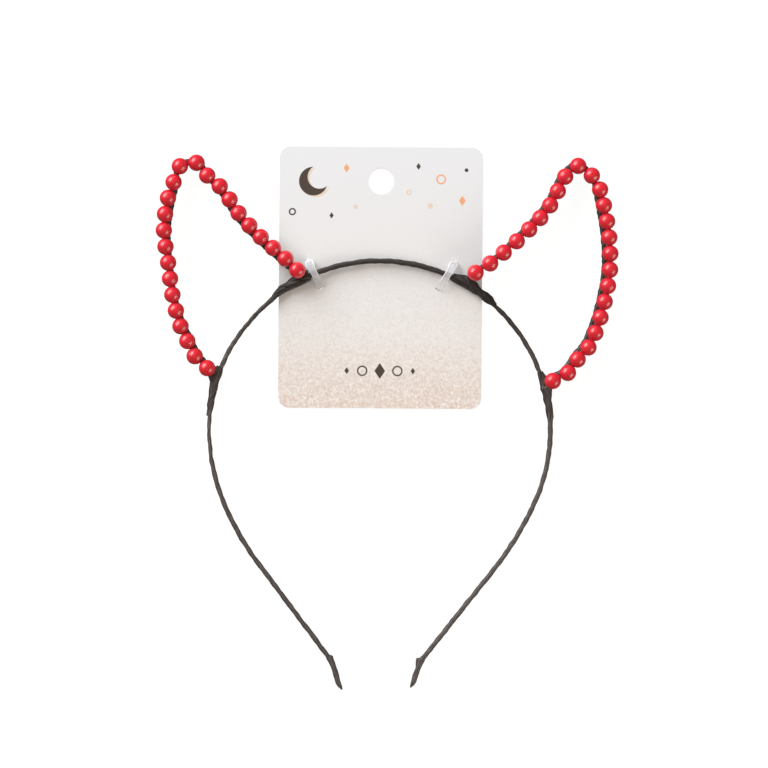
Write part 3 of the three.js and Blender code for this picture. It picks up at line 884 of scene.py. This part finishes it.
# %% Lashings between the beads
def lashing(thread, wire, heading, half=0.11, count=28):
    """A loop of thread pulled round the string and the wire below it."""
    apart = wire - thread
    apart = apart - heading * (apart @ heading)
    down = unit(apart)
    beside = np.cross(heading, down)
    reach = np.linalg.norm(apart)
    at_thread, at_wire = 0.36, FRAME_WIDTH / 2 + 0.1
    loop = []
    for angle in np.arange(count) * 2 * math.pi / count:
        away = math.cos(angle)
        radius = at_thread + (at_wire - at_thread) * max(0.0, away) ** 0.7
        loop.append(thread + down * (reach * (away > 0) + radius * away) + beside * radius * math.sin(angle))
    return rings_round(np.array(loop), half, 6, closed=True)


def closed_ring_faces(count, around, start):
    """Quads between rings, with the last ring joined to the first."""
    index = start + np.arange(count * around).reshape(count, around)
    beside, following = np.roll(index, -1, axis=1), np.roll(index, -1, axis=0)
    return np.stack([index, beside, np.roll(following, -1, axis=1), following], axis=-1).reshape(-1, 4)


def lashings_mesh(name, middles, wire):
    """A loop between each two beads of a string, all in one mesh."""
    points, faces, total = [], [], 0
    for first, second in zip(middles, middles[1:]):
        middle = (first + second) / 2
        nearest = wire[np.argmin(np.linalg.norm(wire - middle, axis=1))]
        loop = lashing(middle, nearest, unit(second - first))
        faces += closed_ring_faces(*loop.shape[:2], total).tolist()
        points.append(loop.reshape(-1, 3))
        total += loop.shape[0] * loop.shape[1]
    return make_mesh(name, np.concatenate(points), faces)


dark_thread = thread_finish()
for side, middles in strings.items():
    thread = thread_mesh(f"{side}_bead_thread", middles)
    lashings = lashings_mesh(f"{side}_lashings", middles, wires[side])
    for mesh in (thread, lashings):
        add_piece(mesh.name, mesh, dark_thread, "ribbon", f"{side}_horn_beads")

# %% [markdown]
# ## The card
#
# The card is stiff printed board, half a millimetre thick, with rounded corners, a punched hanging hole and
# two slits for each tie. A flat curve that holds its own holes, given a thickness and a very small bevel,
# is the simplest way to cut such a sheet, and the bevel gives the edge the softness of cut board.

# %% Outlines of the cuts
CARD_WIDTH = 76.2
CARD_HEIGHT = 98.0
CARD_THICKNESS = 0.5
CARD_CORNER = 4.1
HANG_HOLE_WIDTH = 9.8
HANG_HOLE_DROP = 12.9
STRAP_WIDTH = 2.5
STRAP_THICKNESS = 0.5
TIE_SPAN = 11.5
SLIT_ROOM = 0.04
# Where each tie is and how it is turned, in degrees, and how much further its lower half reaches
TIES = {"left": {"at": 22.7, "skew": 4.0, "longer": 0.6}, "right": {"at": 23.1, "skew": 7.5, "longer": 1.3}}
CARD_MIDDLE_Z = STRAP_THICKNESS + GAP + CARD_THICKNESS / 2


def arc(centre, radius, start, end, count):
    angles = np.radians(np.linspace(start, end, count))
    return [(centre[0] + radius * math.cos(a), centre[1] + radius * math.sin(a)) for a in angles]


def tie_frame(side):
    """The middle of a tie, the way along its strap and the way across it."""
    turn = math.radians(90 - SIDES[side] * (TIES[side]["at"] + TIES[side]["skew"]))
    along = np.array([math.cos(turn), math.sin(turn), 0.0])
    return on_circle(BAND_RADIUS, TIES[side]["at"], side) * [1, 1, 0], along, np.cross(UP, along)


def lower_stretch(side):
    """How many times longer a tie's lower half is than its upper half."""
    return 1 + 2 * TIES[side]["longer"] / TIE_SPAN


card_top = CARD_RISE + CARD_HEIGHT
half_card = CARD_WIDTH / 2 - CARD_CORNER
corners = [(half_card, card_top - CARD_CORNER, 0), (-half_card, card_top - CARD_CORNER, 90)]
corners += [(-half_card, CARD_RISE + CARD_CORNER, 180), (half_card, CARD_RISE + CARD_CORNER, 270)]
outlines = [[spot for x, y, turn in corners for spot in arc((x, y), CARD_CORNER, turn, turn + 90, 14)]]
outlines.append(arc((0, card_top - HANG_HOLE_DROP), HANG_HOLE_WIDTH / 2, 0, 360, 49)[:-1])
for side in SIDES:
    middle, along, across = tie_frame(side)
    for end in (-lower_stretch(side), 1):
        slit = middle + along * end * (TIE_SPAN - STRAP_THICKNESS) / 2
        long, wide = across * (STRAP_WIDTH / 2 + SLIT_ROOM), along * (STRAP_THICKNESS / 2 + SLIT_ROOM)
        signs = ((-1, -1), (-1, 1), (1, 1), (1, -1))
        outlines.append([tuple((slit + a * long + b * wide)[:2]) for a, b in signs])
print("cuts in the card:", len(outlines) - 1)


# %% Cut the card
def cut_sheet(name, outlines, thickness, bevel):
    """A flat sheet cut along its first outline, with the others as holes."""
    curve = bpy.data.curves.new(name, "CURVE")
    curve.dimensions = "2D"
    curve.fill_mode = "BOTH"
    curve.extrude = thickness / 2 - bevel
    curve.bevel_depth = bevel
    curve.offset = -bevel
    curve.bevel_resolution = 2
    for outline in outlines:
        spline = curve.splines.new("POLY")
        spline.points.add(len(outline) - 1)
        spline.use_cyclic_u = True
        for point, (x, y) in zip(spline.points, outline):
            point.co = (x, y, 0, 1)
    sheet = bpy.data.objects.new(name, curve)
    bpy.context.scene.collection.objects.link(sheet)
    bpy.context.view_layer.update()
    mesh = bpy.data.meshes.new_from_object(sheet.evaluated_get(bpy.context.evaluated_depsgraph_get()))
    bpy.data.objects.remove(sheet)
    return mesh


card_mesh = cut_sheet("printed_card", outlines, CARD_THICKNESS, 0.06)
for vertex in card_mesh.vertices:
    vertex.co = Vector((np.array(vertex.co) + UP * CARD_MIDDLE_Z) * MM + BAND_MIDDLE)
print("the card's mesh:", len(card_mesh.vertices), "points")

# %% [markdown]
# The print fades from a cool white at the top to a warm sand at the bottom, with a fine glitter that grows
# denser downwards. A few plain shapes in sand, orange and dark brown stand in the upper part. They are drawn
# from distances: a disc is every point nearer to its middle than its radius. The back is bare board.

# %% Shapes drawn from distances
INKS = {"dark": colour(74, 62, 56), "orange": colour(244, 176, 128), "sand": colour(231, 214, 196)}
INK_EDGE = 0.12
RING_LINE = 0.28
# Each shape's kind, its place from the middle of the card's top edge, its size and its ink
MOTIFS = [
    ("moon", -24.6, -13.6, 5.4, "sand"), ("moon", -25.4, -13.0, 5.4, "dark"),
    ("lozenge", -13.0, -8.0, 1.7, "orange"), ("ring", -33.2, -24.5, 1.1, "dark"),
    ("lozenge", -18.5, -25.8, 1.2, "dark"), ("disc", -9.5, -22.5, 0.8, "sand"),
    ("lozenge", 14.0, -7.2, 1.3, "dark"), ("ring", 22.5, -12.0, 1.6, "orange"),
    ("disc", 32.0, -8.5, 0.7, "dark"), ("lozenge", 30.5, -20.0, 1.9, "orange"),
    ("disc", 18.5, -22.0, 1.0, "sand"), ("ring", 10.5, -17.0, 0.8, "sand"),
    ("lozenge", 0.0, -84.0, 3.0, "dark"), ("ring", -6.6, -84.0, 1.7, "dark"),
    ("ring", 6.6, -84.0, 1.7, "dark"), ("lozenge", -12.4, -84.0, 1.3, "dark"),
    ("lozenge", 12.4, -84.0, 1.3, "dark"),
]


def inside_shape(kind, dx, dy, size):
    """How far inside a shape a point lies, and less than 0 outside it."""
    if kind == "lozenge":
        return size - (dx.size() * 1.5 + dy.size())
    away = (dx * dx + dy * dy).root()
    if kind == "ring":
        return RING_LINE - (away - size).size()
    if kind == "moon":
        bite_x, bite_y = dx - size * 0.42, dy - size * 0.3
        bite = (bite_x * bite_x + bite_y * bite_y).root() - size * 0.82
        return (size - away).smaller(bite)
    return size - away


def add_motifs(finish, paper, x, y):
    for kind, place_x, place_y, size, ink in MOTIFS:
        inside = inside_shape(kind, x - place_x, y - place_y, size)
        paper = finish.mixed(inside.rise(-INK_EDGE, INK_EDGE), paper, INKS[ink])
    return paper


print("shapes on the card:", len(MOTIFS))


# %% Printed board
def card_finish():
    finish = Finish("printed_board")
    spot, (x, y, z) = finish.place()
    middle_x, top_y = BAND_MIDDLE[0] / MM, BAND_MIDDLE[1] / MM + card_top
    x, y = x - middle_x, y - top_y
    down = y * (-1 / CARD_HEIGHT)
    stops = [
        (0.0, colour(235, 238, 242)), (0.3, colour(235, 236, 238)), (0.6, colour(236, 235, 235)),
        (0.74, colour(235, 233, 231)), (1.0, colour(230, 216, 207)),
    ]
    print_colour = finish.node("ShaderNodeValToRGB", {"stops": stops}, {0: down})
    dense = down.rise(0.3, 0.6) * 0.4 + down.rise(0.6, 1.05) * 1.1
    cells = finish.node("ShaderNodeTexVoronoi", {"feature": "F1"}, {"Vector": spot, "Scale": 1.6}, "Color")
    fleck = finish.node("ShaderNodeSeparateColor", {}, {0: cells}, "Red")
    soft = finish.grain(spot, 1.1, 4.0)
    lighter = (fleck.rise(0.8, 1.0) * 0.5 + (soft - 0.5) * 2.6).larger(0.0) * dense
    darker = ((1 - fleck).rise(0.8, 1.0) * 0.2 + (0.5 - soft) * 2.2).larger(0.0) * dense
    flecked = finish.mixed(lighter.smaller(1.0), print_colour, colour(248, 246, 242))
    flecked = finish.mixed(darker.smaller(1.0), flecked, colour(214, 190, 172))
    front = add_motifs(finish, flecked, x, y)
    fibre = finish.grain(spot, 2.5, 3.0)
    board = finish.mixed(fibre, colour(214, 209, 200), colour(232, 228, 220))
    printed = z.rise(CARD_MIDDLE_Z + 0.12, CARD_MIDDLE_Z + 0.2)
    sockets = {
        "Base Color": finish.mixed(printed, board, front),
        "Roughness": 0.62 - fleck.rise(0.85, 1.0) * dense * 0.25,
        "Normal": finish.bump(fibre + fleck * dense, 0.03, 0.4),
    }
    return finish.surface(sockets)


add_piece("printed_card", card_mesh, card_finish(), "card", "card")

# %% [markdown]
# ## The ties
#
# Each tie is a loop of thin frosted plastic strap. It comes up through a slit, bends sharply over with a
# rounded end, crosses the band, slopes down to the second slit and closes behind the card. It is skinned
# like the thread, but its rings are flat with round edges, and the pull of the loop has drawn it narrow
# over the band and left it wide at both ends.

# %% The strap's path
# Places along the strap's span and above the table, once round, from the underside up over the band
STRAP_PATH = [
    (-5.3, 0.34), (-2.5, 0.26), (2.5, 0.26), (5.3, 0.3), (5.52, 0.6), (5.52, 1.3), (5.42, 2.1),
    (4.9, 3.0), (3.9, 3.75), (2.6, 4.32), (1.2, 4.6), (0.0, 4.64), (-1.2, 4.55), (-2.6, 4.05),
    (-3.9, 3.1), (-4.9, 2.1), (-5.4, 1.4), (-5.52, 0.9), (-5.48, 0.5),
]
# The strap's width above the card, as shares of its plain width, by the place along its span
STRAP_WIDTHS = {
    "at": [-5.5, -4.4, -2.6, 0.0, 2.0, 3.2, 4.2, 4.9, 5.3, 5.55],
    "share": [1.3, 1.22, 1.0, 0.98, 1.04, 1.24, 1.36, 1.2, 0.9, 0.5],
}


STRAP_SAMPLES = 8
PULLED_THIN = 0.86


def strap_line(side):
    """The middle of a strap in its own upright plane, once round."""
    path = np.array([(x if x > 0 else x * lower_stretch(side), 0.0, z) for x, z in STRAP_PATH])
    closed = np.concatenate([path[-2:], path, path[:3]])
    return smooth_spans(closed, STRAP_SAMPLES)[0][2 * STRAP_SAMPLES:-3 * STRAP_SAMPLES]


def strap_frost(line, above, wide):
    """How cloudy a strap is: most along its rims and over its upper bend, least in its lower half."""
    rim = np.clip((np.abs(wide) - 0.72) / 0.26, 0, 1)[None]
    upper = np.clip((line[:, 0] - 4.6) / 0.9, 0, 1)[:, None]
    lower = (np.clip((-1.0 - line[:, 0]) / 4.5, 0, 1) * above)[:, None]
    return np.clip((0.4 + 0.58 * np.maximum(rim, upper)) * (1 - 0.66 * lower), 0, 1)


# %% The strap's skin
def strap_mesh(name, side, sides=20):
    middle, along, across = tie_frame(side)
    line = strap_line(side)
    tangent = unit(np.roll(line, -1, axis=0) - np.roll(line, 1, axis=0))
    normal = np.cross(tangent, np.array([0.0, 1.0, 0.0]))
    above = np.clip((line[:, 2] - 0.5) / 0.8, 0, 1)
    shares = np.interp(line[:, 0], STRAP_WIDTHS["at"], STRAP_WIDTHS["share"])
    half_width = STRAP_WIDTH / 2 * (1 + (shares - 1) * above)
    half_thick = STRAP_THICKNESS / 2 * PULLED_THIN
    angles = np.arange(sides) * 2 * math.pi / sides
    wide = np.sign(np.cos(angles)) * np.abs(np.cos(angles)) ** 0.35
    thick = np.sign(np.sin(angles)) * np.abs(np.sin(angles)) ** 0.8
    flat = line[:, None] + normal[:, None] * (thick[None] * half_thick)[..., None]
    flat[..., 1] += wide[None] * half_width[:, None]
    points = middle + flat[..., :1] * along + flat[..., 1:2] * across + flat[..., 2:] * UP
    mesh = make_mesh(name, points.reshape(-1, 3), closed_ring_faces(len(line), sides, 0).tolist())
    write_points(mesh, "frost", strap_frost(line, above, wide))
    return mesh


# %% [markdown]
# Frosted plastic lets light in and scatters it, so it takes the colour of what is behind it without
# showing it sharply. Transmission with a rough surface can do that, but so thin a strap looks dark with it.
# Here the strap is white and only partly there: its alpha follows how cloudy it is, which the mesh says at
# every point, and a bump gives the plastic its uneven haze.

# %% Frosted strap
def strap_finish():
    finish = Finish("frosted_strap")
    spot, _ = finish.place()
    haze = finish.grain(spot, 1.4)
    frost = finish.node("ShaderNodeAttribute", {"attribute_name": "frost"}, {}, 2)
    cloudy = finish.mixed(haze, colour(222, 224, 230), colour(238, 240, 244))
    sockets = {
        "Base Color": finish.mixed(frost.rise(0.5, 0.85), cloudy, colour(255, 255, 255)),
        "Roughness": 0.42 + (haze - 0.5) * 0.2,
        "IOR": 1.4,
        "Specular IOR Level": 0.3,
        "Alpha": (frost + (haze - 0.5) * 0.3).smaller(1.0),
        "Normal": finish.bump(haze, 0.05, 0.4),
    }
    return finish.surface(sockets)


strap = strap_finish()
for side in SIDES:
    name = f"{side}_strap"
    add_piece(name, strap_mesh(name, side), strap, "strap", f"{side}_tie")

# %% [markdown]
# ## Floor, light and camera
#
# It lies on a white table, seen straight from above. Studio photographs of small things are lit with a few
# large soft lamps, and each of these four has one task. The key, on the upper left, gives the round beads
# their slanted highlight. The low lamp beyond the card's top edge throws the band's soft shadow down the
# card. A weak one overhead fills that shadow. These two are unseen in gloss, so that a bead doesn't get four
# highlights. The last, on the lower right, gives the second highlight. The table glows, so that it is white
# and takes no shadow.

# %% White table
def table_finish():
    finish = Finish("white_table")
    spot, _ = finish.place()
    tooth = finish.grain(spot, 0.05)
    sockets = {
        "Base Color": finish.mixed(tooth, colour(108, 108, 108), colour(112, 112, 112)),
        "Roughness": 0.9,
        "Emission Color": colour(255, 255, 255),
        "Emission Strength": 0.92,
    }
    return finish.surface(sockets)


TABLE_HALF = 600 * MM
table_corners = [(x * TABLE_HALF, y * TABLE_HALF, 0) for x, y in ((-1, -1), (1, -1), (1, 1), (-1, 1))]
table_mesh = bpy.data.meshes.new("table")
table_mesh.from_pydata(table_corners, [], [(0, 1, 2, 3)])
table_mesh.materials.append(table_finish())
table = bpy.data.objects.new("table", table_mesh)
bpy.context.scene.collection.objects.link(table)
table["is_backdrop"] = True
# The beads' rims are dark: they reflect the room, not the table, so neither gloss nor soft light sees it
table.visible_glossy = False
table.visible_diffuse = False
print("the table is", round(2 * TABLE_HALF, 2), "m wide")


# %% Lights
def soft_light(name, towards, distance, size, power, tint):
    """A rectangle of light that faces the model from a direction, in metres and watts."""
    light = bpy.data.lights.new(name, "AREA")
    light.shape = "RECTANGLE"
    light.color = tint[:3]
    light.size, light.size_y = size
    light.energy = power
    lamp = bpy.data.objects.new(name, light)
    bpy.context.scene.collection.objects.link(lamp)
    way = Vector(towards).normalized()
    lamp.location = way * distance
    lamp.rotation_euler = way.to_track_quat("Z", "Y").to_euler()
    return lamp


soft_light("key", (-0.63, 0.56, 0.53), 3.0, (2.5, 1.75), 82, colour(253, 254, 255))
low = soft_light("low", (-0.3, 0.92, 0.25), 3.2, (3.7, 1.6), 82, colour(238, 247, 255))
low.visible_glossy = False
above = soft_light("above", (0.05, 0.1, 1.0), 3.0, (3.0, 3.0), 12, colour(255, 244, 234))
above.visible_glossy = False
soft_light("second", (0.735, -0.5, 0.46), 2.8, (1.9, 1.3), 32, colour(255, 246, 238))
world = bpy.data.worlds.new("studio")
bpy.context.scene.world = world
world.use_nodes = True
room = world.node_tree.nodes["Background"].inputs
room["Color"].default_value = colour(255, 234, 216)
room["Strength"].default_value = 0.2
bpy.context.scene.view_settings.view_transform = "Standard"
print("lamps:", ", ".join(lamp.name for lamp in bpy.data.lights))

# %% Camera
PHOTO_SIDE = 768
PIXEL = 0.375 * MM
AIMED_AT = (-0.78 * MM, 12.84 * MM, 1.3 * MM)
CAMERA_HEIGHT = 1.0
CAMERA_ROLL = 0.42
LENS = 125.0
camera_data = bpy.data.cameras.new("camera")
camera_data.lens = LENS
camera_data.sensor_width = LENS * PHOTO_SIDE * PIXEL / CAMERA_HEIGHT
camera = bpy.data.objects.new("camera", camera_data)
camera.location = Vector(AIMED_AT) + Vector((0, 0, CAMERA_HEIGHT))
camera.rotation_euler = (0, 0, math.radians(CAMERA_ROLL))
bpy.context.scene.collection.objects.link(camera)
bpy.context.scene.camera = camera
print(f"one pixel is {PIXEL / MM} mm on the card, sensor {camera_data.sensor_width:.1f} mm")

# %% The size of what is shown
low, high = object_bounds()
print("visual box:", [round(v / MM, 2) for v in (*low, *high)])
